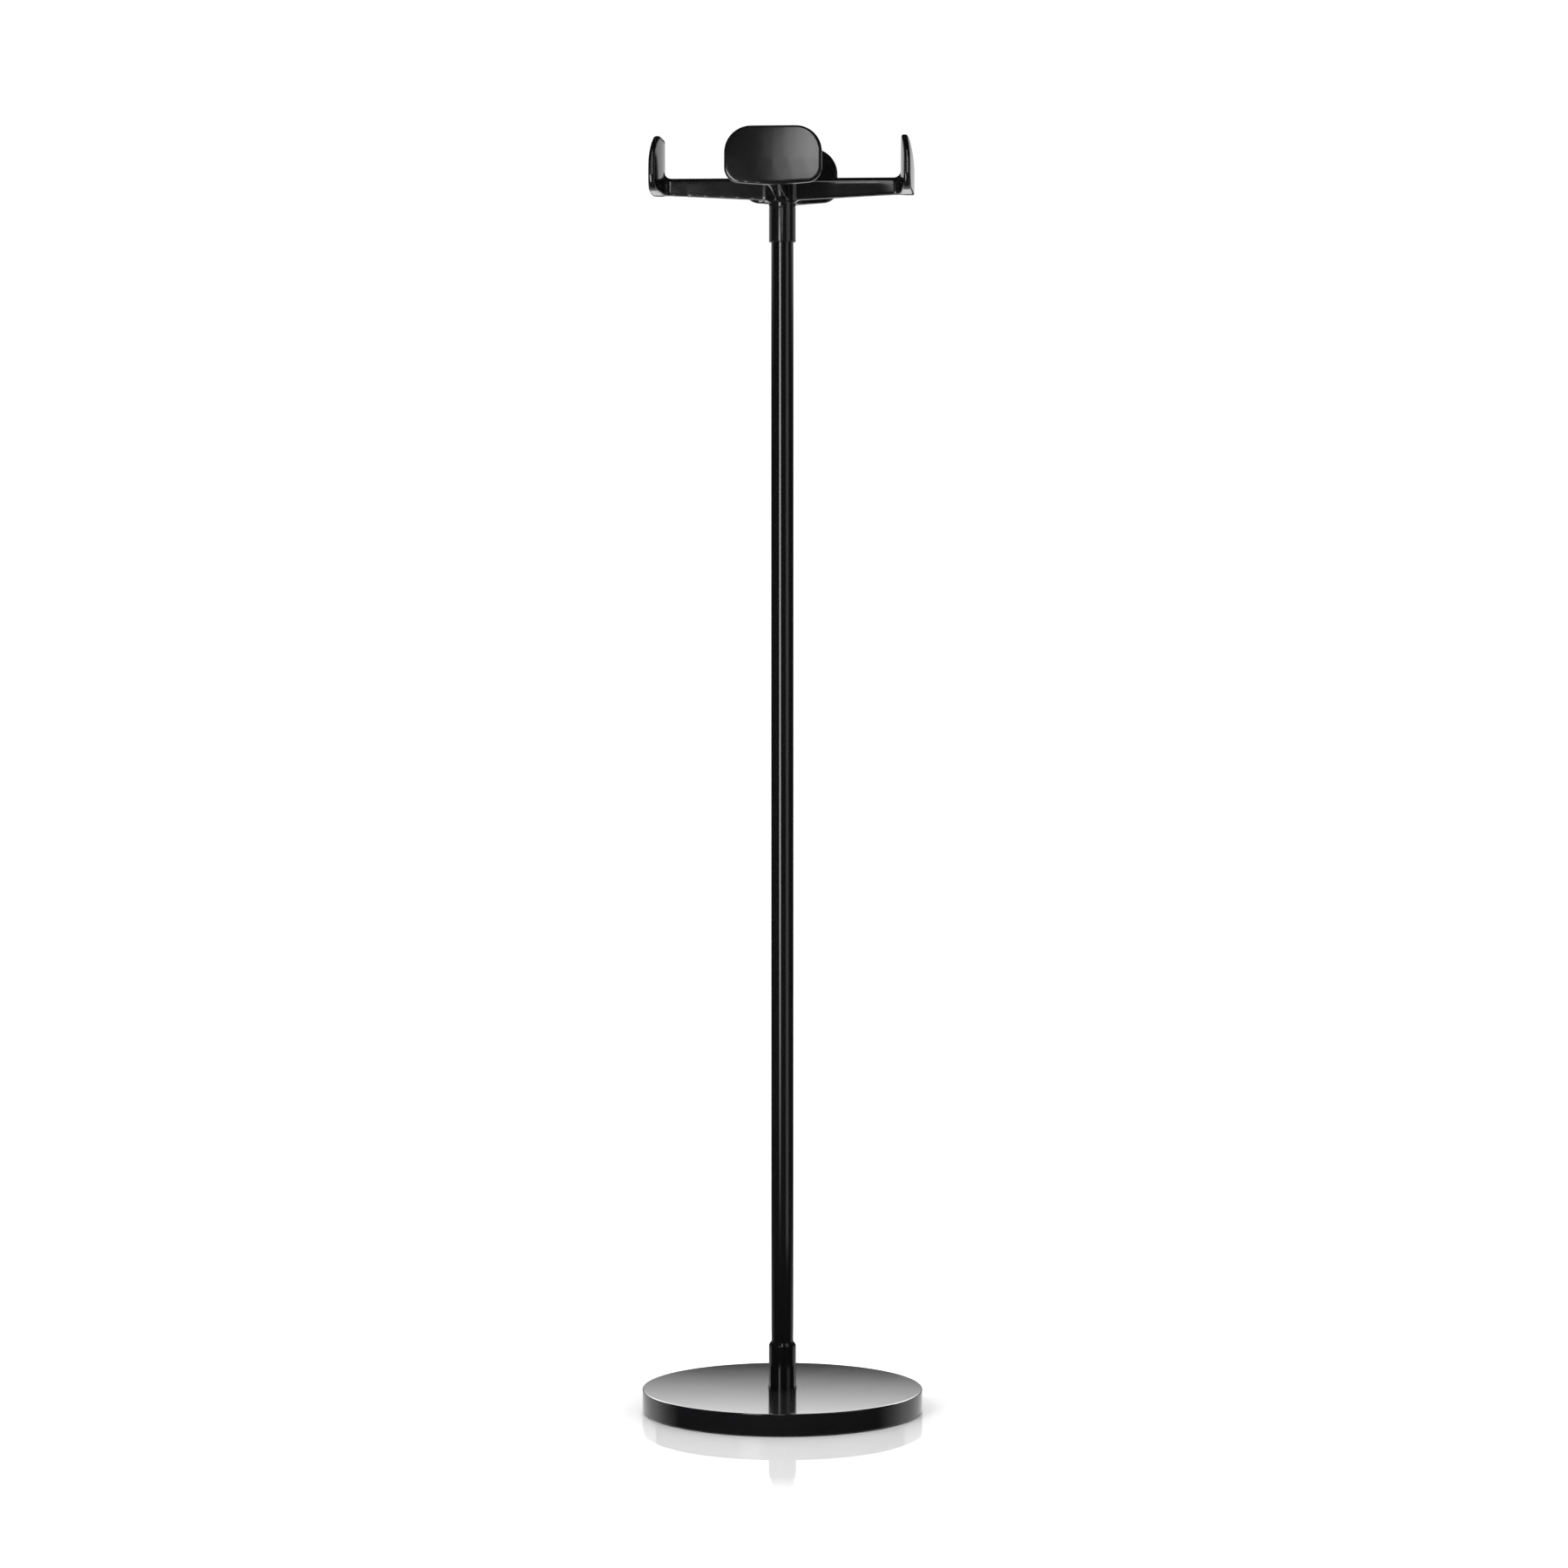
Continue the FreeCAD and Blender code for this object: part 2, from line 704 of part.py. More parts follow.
def make_arm_cross(body, blank_floor, top):
    """Two crossing bars with rounded inner corners and fully rounded top edges."""
    half = arm_thickness / 2
    reach = paddle_reach - paddle_depth / 2
    plan = new_sketch(body, "cross_profile", "XY_Plane", blank_floor)
    add_loop(plan, [
        (reach, -half), (reach, half), (half, half), (half, reach),
        (-half, reach), (-half, half), (-reach, half), (-reach, -half),
        (-half, -half), (-half, -reach), (half, -reach), (half, -half),
    ])
    bars = feature(body, "Pad", "bars", plan, Length=top - blank_floor)

    def is_inner_corner(edge):
        box = edge.BoundBox
        return box.ZLength > 1 and max(box.XMax, -box.XMin, box.YMax, -box.YMin) < half.value + 0.1

    corners = round_edges(body, "hub_corners", bars, is_inner_corner, hub_corner)

    def is_top_side(edge):
        box = edge.BoundBox
        along_end = min(box.XMax - box.XMin, box.YMax - box.YMin) < 0.1
        at_end = along_end and max(box.XLength, box.YLength) < arm_thickness.value + 0.1
        return box.ZMin > top.value - 0.1 and not at_end

    return round_edges(body, "arm_tops", corners, is_top_side, arm_top_round)


def make_paddle_blanks(body, blank_floor):
    """Four upright pads: bowed outer face that leans in at the top, domed inner face."""
    half = paddle_width / 2
    tall = total_height - stem_bottom
    outer = paddle_reach - paddle_face_bow
    inner = outer - paddle_edge_depth
    back = paddle_reach - paddle_depth
    plan = new_sketch(body, "paddle_plan", "XY_Plane", blank_floor)
    add_loop(
        plan,
        [(outer, -half), (outer, half), (inner, half), (inner, -half)],
        {0: bow_radius(half, paddle_face_bow), 2: bow_radius(half, inner - back)},
    )
    blank = feature(body, "Pad", "paddle_blank", plan, Length=tall - blank_floor)
    lean = make_paddle_lean(body, tall)
    crown = make_paddle_crown(body, tall)
    return around(body, "paddle_blanks", [blank, lean, crown], arms)


def make_paddle_lean(body, tall):
    """Turns the top of the outer face inward, about the same upright axis as the face's own bow."""
    axis_reach = paddle_reach - bow_radius(paddle_width / 2, paddle_face_bow)
    bend = tall - paddle_lean_height
    face_top = paddle_reach - paddle_lean
    beyond = paddle_reach + cut_margin
    clear = tall + cut_margin
    side = new_sketch(body, "paddle_lean_profile")
    axis = sketch_axis(side, (axis_reach, ZERO), (axis_reach, tall))
    add_loop(
        side,
        [(paddle_reach, bend), (beyond, bend), (beyond, clear), (face_top, clear), (face_top, tall)],
        {4: -bow_radius(paddle_lean_height, paddle_lean)},
    )
    lean = feature(body, "Groove", "paddle_lean_cut", side, Angle=360)
    lean.ReferenceAxis = (side, [axis])
    return lean


def make_paddle_crown(body, tall):
    """Eases the top of the inner face outward, so that the pad ends in a thin edge."""
    back = paddle_reach - paddle_depth
    crown = tall - paddle_crown_height
    back_top = back + paddle_crown
    behind = back - cut_margin
    clear = tall + cut_margin
    side = new_sketch(body, "paddle_crown_profile")
    add_loop(
        side,
        [(back, crown), (back_top, tall), (back_top, clear), (behind, clear), (behind, crown)],
        {0: -bow_radius(paddle_crown_height, paddle_crown)},
    )
    return feature(body, "Pocket", "paddle_crown_cut", side, Type="ThroughAll", SideType="Symmetric")


def turned_to_x(edge):
    """An edge's extents as if its paddle stood on the +X arm: inmost, outmost, half width, low, high."""
    box = edge.BoundBox
    if max(box.XMax, -box.XMin) > max(box.YMax, -box.YMin):
        radial, across = (box.XMin, box.XMax), (box.YMin, box.YMax)
    else:
        radial, across = (box.YMin, box.YMax), (box.XMin, box.XMax)
    reach = sorted(abs(amount) for amount in radial)
    return reach[0], reach[1], max(abs(amount) for amount in across), box.ZMin, box.ZMax


def is_root_edge(edge):
    """The edges where an arm's sides and rounded top meet the inner face of a paddle."""
    inmost, outmost, across, _, _ = turned_to_x(edge)
    back = paddle_reach.value - paddle_depth.value
    return inmost > back - 0.1 and outmost < back + 0.6 and across < arm_thickness.value / 2 + 0.1


def is_rim_edge(edge):
    """The edges all round the outer and inner faces of a paddle, but not those through its thickness."""
    inmost, outmost, *_ = turned_to_x(edge)
    runs_through = abs(outmost - inmost - edge.Length) < 0.02
    on_paddle = inmost > paddle_reach.value - paddle_depth.value - 0.1
    middle = edge.valueAt((edge.FirstParameter + edge.LastParameter) / 2)
    return on_paddle and not runs_through and on_outline(min(abs(middle.x), abs(middle.y)), middle.z)


def on_outline(across, level):
    """Whether a point this far from the middle of a paddle and at this level is on its outline."""
    tall = total_height.value - stem_bottom.value
    root = arm_top.value - stem_bottom.value - arm_depth_at_root.value
    slope = math.radians(paddle_foot_slope.value)
    half = paddle_width.value / 2
    foot_high = root + foot_rise.value
    if level > tall - paddle_top_round.value and across > half - paddle_top_round.value:
        corner = (half - paddle_top_round.value, tall - paddle_top_round.value)
        distance = math.dist((across, level), corner) - paddle_top_round.value
    elif level < foot_high and across > foot_start.value:
        corner = (half - paddle_foot_round.value, foot_high)
        distance = math.dist((across, level), corner) - paddle_foot_round.value
    elif level > foot_high:
        distance = min(abs(level - tall), abs(across - half))
    else:
        distance = level - root - max(0, across - arm_thickness.value / 2) * math.tan(slope)
    return abs(distance) < 0.05


def make_paddle_outlines(body, root):
    """Trims each pad to its front outline: round corners and a bottom edge that dips to the middle."""
    half = paddle_width / 2
    tall = total_height - stem_bottom
    margin = cut_margin * 2
    sketch = new_sketch(body, "paddle_outline", "YZ_Plane", arm_root_reach - arm_root_overlap)
    add_box(sketch, (-(half + margin), root - arm_depth_at_hub), (half + margin, tall + margin))
    flat = arm_thickness / 2
    foot_low = root + foot_rise - paddle_foot_round * cosine(paddle_foot_slope)
    foot_high = root + foot_rise
    shoulder = tall - paddle_top_round
    brow = half - paddle_top_round
    add_loop(
        sketch,
        [
            (-flat, root), (flat, root), (foot_start, foot_low), (half, foot_high),
            (half, shoulder), (brow, tall), (-brow, tall), (-half, shoulder),
            (-half, foot_high), (-foot_start, foot_low),
        ],
        {2: paddle_foot_round, 4: paddle_top_round, 6: paddle_top_round, 8: paddle_foot_round},
    )
    trim = feature(body, "Pocket", "outline_cut", sketch, Reversed=True, Length=paddle_depth * 2)
    return around(body, "outline_cuts", [trim], arms)


def make_underside(body, top, root):
    """Turned underside shared by the arms: a flare out of the stem, then a slow rise."""
    flare_top = top - arm_depth_at_hub
    floor = flare_top - cut_margin * 3
    return turn(body, "underside", [
        (stem_radius, floor),
        (stem_radius, flare_top - stem_flare),
        (stem_radius + stem_flare, flare_top),
        (arm_root_reach, root),
        (arm_root_reach, floor),
    ], kind="Groove", arcs={1: -stem_flare})


def make_stem(body, top):
    """Round stem with the bores for the tube, the bearing bushes and the cap."""
    plan = new_sketch(body, "stem_profile", "XY_Plane")
    add_circle(plan, stem_radius)
    feature(body, "Pad", "stem", plan, Length=top - arm_depth_at_hub)
    guide_top = guide_bush_recess + guide_bush_length
    web_low = web_bottom - stem_bottom
    web_high = web_top - stem_bottom
    clear = top + cut_margin
    bores = turn(body, "bores", [
        (ZERO, ZERO),
        (guide_bush_radius, ZERO),
        (guide_bush_radius, guide_top),
        (stem_bore, guide_top),
        (stem_bore, web_low),
        (bush_outer, web_low),
        (bush_outer, web_high),
        (cap_radius, web_high),
        (cap_radius, clear),
        (ZERO, clear),
    ], kind="Groove")
    return round_edges(body, "stem_mouth", bores, circle_edge(stem_radius, ZERO), stem_mouth_round)


def make_head_cap():
    """Push-in cap over the pivot bolt."""
    body = new_body("head_cap", arm_top - cap_skirt)
    turn(body, "cap", [
        (cap_radius - cap_wall, ZERO),
        (cap_radius, ZERO),
        (cap_radius, cap_skirt),
        (ZERO, cap_skirt + cap_crown),
        (ZERO, cap_skirt - cap_wall),
        (cap_radius - cap_wall, cap_skirt - cap_wall),
    ], arcs={2: bow_radius(cap_radius, cap_crown)})
    return body


# ---------------------------------------------------------------- the whole rack
def build_all():
    """Every node of the rack, from the floor up."""
    base_washer_level = bolt_recess_top - base_washer_wall
    return [
        make_base_cover(),
        make_ballast(),
        make_base_plate(),
        make_plate_screws(),
        make_foot_ring(),
        make_base_bolt(),
        make_washer("base_washer", base_washer_level, bolt_radius + bolt_clearance,
                    base_washer_radius, base_washer_wall),
        make_lock_washer(),
        make_seat_ring(),
        make_pole_socket(),
        make_socket_pins(),
        make_pole_tube(),
        make_tube_foot_plug(),
        make_spindle_plug(),
        make_washer("thrust_washer", spindle_top, pivot_radius + bolt_clearance,
                    thrust_washer_radius, thrust_washer_wall),
        make_flanged_bush("lower_bush", web_bottom - bush_flange, lower_bush_flange_radius, False),
        make_flanged_bush("upper_bush", web_top - bush_length, upper_bush_flange_radius, True),
        make_washer("wave_washer", web_top + bush_flange, pivot_radius + bolt_clearance,
                    wave_washer_radius, wave_washer_wall),
        make_pivot_bolt(),
        make_washer("guide_bush", stem_bottom + guide_bush_recess, tube_radius + tube_fit,
                    guide_bush_radius, guide_bush_length),
        make_head_casting(),
        make_head_cap(),
    ]


def check(node):
    """Stops the build on a feature in error or a node without a valid shape."""
    shape = node.Shape
    if shape.isNull() or not shape.isValid():
        raise RuntimeError(f"{node.Label}: no valid shape")
    box = shape.optimalBoundingBox(False)
    print(f"{node.Label:20s} solids {len(shape.Solids)}  volume {shape.Volume:12.1f}"
          f"  x {box.XMin:8.2f} {box.XMax:8.2f}  z {box.ZMin:8.2f} {box.ZMax:8.2f}")


nodes = build_all()
doc.recompute()
for item in doc.Objects:
    if "Invalid" in item.State or "Error" in item.State:
        raise RuntimeError(f"{item.Label}: {item.State}")
os.makedirs("parts", exist_ok=True)
for node in nodes:
    check(node)
    node.Shape.exportStep(f"parts/{node.Label}.step")
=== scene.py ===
import json
import math
import bmesh
import bpy
from mathutils import Matrix, Vector


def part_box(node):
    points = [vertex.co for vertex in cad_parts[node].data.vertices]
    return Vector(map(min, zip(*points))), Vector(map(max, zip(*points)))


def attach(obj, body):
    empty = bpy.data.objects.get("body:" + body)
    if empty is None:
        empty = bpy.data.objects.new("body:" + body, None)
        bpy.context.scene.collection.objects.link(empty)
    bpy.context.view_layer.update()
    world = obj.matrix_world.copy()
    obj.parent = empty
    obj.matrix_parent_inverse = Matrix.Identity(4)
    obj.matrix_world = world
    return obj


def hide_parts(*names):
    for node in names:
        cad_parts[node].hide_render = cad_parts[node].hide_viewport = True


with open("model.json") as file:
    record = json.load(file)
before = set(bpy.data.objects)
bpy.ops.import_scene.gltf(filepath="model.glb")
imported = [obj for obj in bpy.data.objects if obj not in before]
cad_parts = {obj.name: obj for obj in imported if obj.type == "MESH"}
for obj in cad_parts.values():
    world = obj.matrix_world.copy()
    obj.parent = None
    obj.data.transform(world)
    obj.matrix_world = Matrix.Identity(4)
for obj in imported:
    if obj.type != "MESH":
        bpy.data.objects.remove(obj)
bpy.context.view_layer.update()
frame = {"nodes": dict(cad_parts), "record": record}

# Camera: bearing, dip, how far it aims to the right of the pole, distance, height and lens.
CAMERA_TURN = math.radians(4.11)
CAMERA_TILT = math.radians(2.86)
CAMERA_AIM = math.radians(0.021)
CAMERA_AWAY = 6.032
EYE_HEIGHT = 1.1535
LENS_MM = 102.73

# Black paint: darkest and lightest colour, colour of wear and dust, share of dust, depth of orange peel.
PAINT_DARK = (0.0045, 0.0045, 0.005)
PAINT_LIGHT = (0.0075, 0.0075, 0.008)
PAINT_WORN = (0.24, 0.24, 0.25)
PAINT_DUST = 0.015
PEEL_DEPTH = 0.000012

# Turned pieces.
LATHE_STEPS = 192
ON_AXIS = 1e-6
BOLT_BORE = 0.0065
TUBE_BORE = 0.01505
SHEET_WALL = 0.002
FOOT_WIDTH = 0.0095
SEAT_BORE = 0.012
CAP_WALL = 0.0015

# Head casting: mesh size, smoothing passes, and the parts of it that are touched up.
CASTING_GRAIN = 0.0011
SOFTEN_SHARE = 0.5
SOFTEN_PASSES = 8
RIM_PASSES = 14
ARM_TOP = 1.6655
ARM_HALF = 0.008
ARM_DRAFT = math.tan(math.radians(2.0))
PADDLE_START = 0.1535
STEM_RADIUS = 0.018
STEM_TOP = 1.626
STEM_SLACK = 0.0006

# Stage: the room's brightness behind the rack by sine of elevation, and everywhere else, and the backdrop's.
ROOM_GLOW = ((-0.19, 1.0), (-0.15, 0.02), (0.05, 0.02), (0.07, 0.75), (0.1, 0.7), (0.14, 0.05), (0.5, 0.03))
ROOM_DARK = 0.002
BACKDROP = 1.05
PAPER_DARK = (0.93, 0.93, 0.93)
PAPER_LIGHT = (0.95, 0.95, 0.95)
ACRYLIC_DARK = (0.59, 0.59, 0.59)
ACRYLIC_LIGHT = (0.6, 0.6, 0.6)
# Distances between which the acrylic comes in: from behind the pole forwards, and from all round inwards.
ACRYLIC_FROM_BEHIND = (0.3, 0.1)
ACRYLIC_FROM_ROUND = (0.75, 0.45)
CARD_WIDTH = 2.4
SUN_STRENGTH = 3.7
SUN_SPREAD = math.radians(150)
# An area light of 1 m2 and this many watts has a radiance of 1.
WATTS_PER_RADIANCE = math.pi


# ---------------------------------------------------------------- small helpers
def feed(tree, socket, amount):
    """Links another node's output to the socket, or sets it to a number or a colour."""
    if isinstance(amount, bpy.types.NodeSocket):
        tree.links.new(amount, socket)
    elif socket.type == "RGBA":
        socket.default_value = (*amount, 1)
    else:
        socket.default_value = amount


def add_node(tree, kind, **inputs):
    """One shader node, with its inputs given by socket name, _ standing for a space."""
    node = tree.nodes.new(kind)
    for name, amount in inputs.items():
        feed(tree, node.inputs[name.replace("_", " ")], amount)
    return node


def noise(tree, place, scale, detail=3.0, roughness=0.5):
    node = add_node(tree, "ShaderNodeTexNoise", Vector=place, Scale=scale, Detail=detail, Roughness=roughness)
    return node.outputs["Fac"]


def remap(tree, value, from_low, from_high, to_low=0.0, to_high=1.0):
    node = add_node(
        tree, "ShaderNodeMapRange", Value=value,
        From_Min=from_low, From_Max=from_high, To_Min=to_low, To_Max=to_high)
    return node.outputs["Result"]


def combine(tree, operation, first, second):
    node = tree.nodes.new("ShaderNodeMath")
    node.operation = operation
    feed(tree, node.inputs[0], first)
    feed(tree, node.inputs[1], second)
    return node.outputs[0]


def mix_colours(tree, factor, first, second):
    node = tree.nodes.new("ShaderNodeMix")
    node.data_type = "RGBA"
    factor_socket, first_socket, second_socket = (node.inputs[index] for index in (0, 6, 7))
    feed(tree, factor_socket, factor)
    feed(tree, first_socket, first)
    feed(tree, second_socket, second)
    return node.outputs[2]


def mix_shaders(tree, factor, first, second):
    node = tree.nodes.new("ShaderNodeMixShader")
    for socket, source in zip(node.inputs, (factor, first.outputs[0], second.outputs[0])):
        feed(tree, socket, source)
    return node.outputs[0]


def set_bump(tree, shader, height, strength, depth):
    bump = add_node(tree, "ShaderNodeBump", Height=height, Strength=strength, Distance=depth)
    feed(tree, shader.inputs["Normal"], bump.outputs["Normal"])


def new_material(name):
    material = bpy.data.materials.new(name)
    material.use_nodes = True
    tree = material.node_tree
    shader = tree.nodes["Principled BSDF"]
    place = tree.nodes.new("ShaderNodeTexCoord").outputs["Object"]
    return material, tree, shader, place


# ---------------------------------------------------------------- materials
def paint_marks(tree, place, wear):
    """How far dust and rubbed edges cover the paint, from 0 to 1."""
    dust = remap(tree, noise(tree, place, 900.0, detail=1.0), 0.72, 0.8, to_high=PAINT_DUST)
    edge = tree.nodes.new("ShaderNodeNewGeometry").outputs["Pointiness"]
    worn = remap(tree, edge, 0.53, 0.62, to_high=wear)
    patches = remap(tree, noise(tree, place, 60.0), 0.45, 0.7)
    return combine(tree, "ADD", dust, combine(tree, "MULTIPLY", worn, patches))


def painted_metal(name, gloss, peel_scale, wear):
    """Black paint: faint cloudiness, uneven gloss, orange peel, fine dust and slightly worn edges."""
    material, tree, shader, place = new_material(name)
    clean = mix_colours(tree, noise(tree, place, 9.0, detail=4.0), PAINT_DARK, PAINT_LIGHT)
    marks = paint_marks(tree, place, wear)
    feed(tree, shader.inputs["Base Color"], mix_colours(tree, marks, clean, PAINT_WORN))
    smear = remap(tree, noise(tree, place, 22.0, detail=5.0, roughness=0.6), 0.3, 0.7, *gloss)
    dulled = combine(tree, "MULTIPLY", marks, 0.6)
    feed(tree, shader.inputs["Roughness"], combine(tree, "ADD", smear, dulled))
    shader.inputs["IOR"].default_value = 1.5
    set_bump(tree, shader, noise(tree, place, peel_scale, detail=2.0), strength=1.0, depth=PEEL_DEPTH)
    return material


def moulded_plastic(name, dark, light):
    """Moulded plastic or rubber with a fine spark-eroded texture."""
    material, tree, shader, place = new_material(name)
    grain = noise(tree, place, 1400.0, detail=2.0)
    feed(tree, shader.inputs["Base Color"], mix_colours(tree, noise(tree, place, 40.0), dark, light))
    feed(tree, shader.inputs["Roughness"], remap(tree, grain, 0.3, 0.7, 0.5, 0.68))
    set_bump(tree, shader, grain, strength=0.6, depth=0.00006)
    return material


def bare_metal(name, tone, rough):
    """Plated or cast metal for the pieces inside."""
    material, tree, shader, place = new_material(name)
    cloud = noise(tree, place, 70.0, detail=5.0)
    dark = [part * 0.8 for part in tone]
    feed(tree, shader.inputs["Base Color"], mix_colours(tree, cloud, dark, tone))
    feed(tree, shader.inputs["Roughness"], remap(tree, cloud, 0.3, 0.7, rough, rough + 0.15))
    shader.inputs["Metallic"].default_value = 1.0
    set_bump(tree, shader, noise(tree, place, 700.0), strength=0.5, depth=0.00008)
    return material


def make_materials():
    """The finish of every material slot, and two more paints for the cover and the casting."""
    return {
        "black_paint": painted_metal("gloss_paint", gloss=(0.08, 0.11), peel_scale=420.0, wear=0.05),
        "base_paint": painted_metal("satin_paint", gloss=(0.09, 0.12), peel_scale=380.0, wear=0.05),
        "black_casting": painted_metal("casting_paint", gloss=(0.1, 0.13), peel_scale=360.0, wear=0.04),
        "cast_iron": bare_metal("cast_iron", (0.12, 0.12, 0.125), rough=0.55),
        "plate_steel": bare_metal("plate_steel", (0.45, 0.45, 0.46), rough=0.35),
        "zinc_screw": bare_metal("zinc_screw", (0.55, 0.55, 0.56), rough=0.25),
        "foot_rubber": moulded_plastic("foot_rubber", (0.008, 0.008, 0.008), (0.014, 0.014, 0.014)),
        "seat_plastic": moulded_plastic("seat_plastic", (0.006, 0.006, 0.006), (0.012, 0.012, 0.012)),
        "bush_plastic": moulded_plastic("bush_plastic", (0.6, 0.59, 0.55), (0.7, 0.69, 0.65)),
    }


def paint_cad_nodes(materials):
    """Gives every CAD piece the finish of its slot."""
    slots = {part["node"]: part["material_slot"] for part in frame["record"]["subparts"]}
    for name, node in frame["nodes"].items():
        node.data.materials.clear()
        node.data.materials.append(materials[slots[name]])


# ---------------------------------------------------------------- turned pieces
def rounded(corners, radii, steps=6):
    """The outline through (radius, height) corners, each turned into an arc where a radius is given."""
    points = []
    count = len(corners)
    for index, corner in enumerate(corners):
        here = Vector(corner)
        radius = radii.get(index, 0)
        if not radius:
            points.append(here)
            continue
        before = (Vector(corners[index - 1]) - here).normalized()
        after = (Vector(corners[(index + 1) % count]) - here).normalized()
        half = before.angle(after) / 2
        reach = radius / math.tan(half)
        centre = here + (before + after).normalized() * (radius / math.sin(half))
        start = here + before * reach - centre
        turn = start.angle_signed(here + after * reach - centre)
        for step in range(steps + 1):
            spin = Matrix.Rotation(-turn * step / steps, 2)
            points.append(centre + spin @ start)
    return points


def ring_of_points(shape, radius, height):
    """The outline's point swept once round the axis, or a single point on the axis itself."""
    if radius < ON_AXIS:
        return [shape.verts.new((0, 0, height))]
    ring = []
    for step in range(LATHE_STEPS):
        angle = 2 * math.pi * step / LATHE_STEPS
        ring.append(shape.verts.new((radius * math.cos(angle), radius * math.sin(angle), height)))
    return ring


def join_rings(shape, lower, upper):
    """The band of faces between two rings, either of which may be a single point."""
    if len(lower) == 1 and len(upper) == 1:
        return
    for step in range(LATHE_STEPS):
        after = (step + 1) % LATHE_STEPS
        if len(lower) == 1:
            shape.faces.new((lower[0], upper[after], upper[step]))
        elif len(upper) == 1:
            shape.faces.new((lower[step], lower[after], upper[0]))
        else:
            shape.faces.new((lower[step], lower[after], upper[after], upper[step]))


def turned(name, outline, body, material, closed=True):
    """A lathe piece about the pole's axis, outline in metres as (radius, height)."""
    mesh = bpy.data.meshes.new(name)
    shape = bmesh.new()
    rings = [ring_of_points(shape, radius, height) for radius, height in outline]
    following = rings[1:] + rings[:1] if closed else rings[1:]
    for lower, upper in zip(rings, following):
        join_rings(shape, lower, upper)
    bmesh.ops.recalc_face_normals(shape, faces=shape.faces)
    shape.to_mesh(mesh)
    shape.free()
    mesh.shade_smooth()
    mesh.materials.append(material)
    piece = bpy.data.objects.new(name, mesh)
    bpy.context.collection.objects.link(piece)
    smooth = piece.modifiers.new("shade", "WEIGHTED_NORMAL")
    smooth.keep_sharp = True
    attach(piece, body)
    return piece


def make_cover(materials):
    """Shallow steel shell over the base, with a rolled top edge."""
    low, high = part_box("base_cover")
    inside = high.x - SHEET_WALL
    ceiling = high.z - SHEET_WALL
    top_round, edge_round = 0.0016, 0.0006
    outline = rounded(
        [(BOLT_BORE, high.z), (high.x, high.z), (high.x, low.z),
         (inside, low.z), (inside, ceiling), (BOLT_BORE, ceiling)],
        {1: top_round, 2: edge_round, 3: edge_round},
    )
    cover = turned("cover_shell", outline, "stand", materials["base_paint"])
    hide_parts("base_cover")


def make_foot_ring(materials):
    """Ring under the rim that the rack stands on."""
    low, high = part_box("foot_ring")
    inner = high.x - FOOT_WIDTH
    edge_round = 0.001
    outline = rounded(
        [(inner, low.z), (high.x, low.z), (high.x, high.z), (inner, high.z)],
        {0: edge_round, 1: edge_round},
    )
    ring = turned("floor_ring", outline, "stand", materials["foot_rubber"])
    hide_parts("foot_ring")


def make_seat_ring(materials):
    """Thin ring between the socket and the base."""
    low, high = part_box("seat_ring")
    foot_round, rim_round = 0.0004, 0.0006
    outline = rounded(
        [(SEAT_BORE, low.z), (high.x, low.z), (high.x, high.z), (SEAT_BORE, high.z)],
        {1: foot_round, 2: rim_round},
    )
    ring = turned("socket_seat", outline, "stand", materials["black_paint"])
    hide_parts("seat_ring")


def make_socket(materials):
    """Socket that holds the pole, with a bevelled rim."""
    low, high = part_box("pole_socket")
    bevel_width, bevel_height, web = 0.0026, 0.0042, 0.006
    foot_round, bevel_foot_round, bevel_top_round = 0.0006, 0.0007, 0.0005
    outline = rounded(
        [(BOLT_BORE, low.z), (high.x, low.z), (high.x, high.z - bevel_height), (high.x - bevel_width, high.z),
         (TUBE_BORE, high.z), (TUBE_BORE, low.z + web), (BOLT_BORE, low.z + web)],
        {1: foot_round, 2: bevel_foot_round, 3: bevel_top_round},
    )
    socket = turned("socket_collar", outline, "stand", materials["black_paint"])
    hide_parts("pole_socket")


def make_pole(materials):
    """Straight tube from the socket to inside the head."""
    low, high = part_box("pole_tube")
    inner = high.x - SHEET_WALL
    end_round = 0.0004
    outline = rounded(
        [(inner, low.z), (high.x, low.z), (high.x, high.z), (inner, high.z)],
        {1: end_round, 2: end_round},
    )
    pole = turned("pole", outline, "stand", materials["black_paint"])
    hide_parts("pole_tube")


def make_cap(materials):
    """Domed push-in cap in the middle of the head."""
    low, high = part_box("head_cap")
    radius = high.x
    dome, rim_round = 0.0006, 0.0007
    shoulder = high.z - dome
    inside = radius - CAP_WALL
    outline = rounded(
        [(0, high.z), (radius / 2, high.z - dome / 4), (radius, shoulder), (radius, low.z),
         (inside, low.z), (inside, shoulder - CAP_WALL), (0, shoulder - CAP_WALL)],
        {2: rim_round},
    )
    cap = turned("centre_cap", outline, "head", materials["seat_plastic"], closed=False)
    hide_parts("head_cap")


def soften(piece, passes, group=""):
    smooth = piece.modifiers.new("soften", "SMOOTH")
    smooth.factor = SOFTEN_SHARE
    smooth.iterations = passes
    smooth.vertex_group = group


def work_in_modifiers(piece):
    """Gives the piece the mesh that its modifiers make, and takes them off."""
    graph = bpy.context.evaluated_depsgraph_get()
    mesh = bpy.data.meshes.new_from_object(piece.evaluated_get(graph))
    piece.modifiers.clear()
    piece.data = mesh


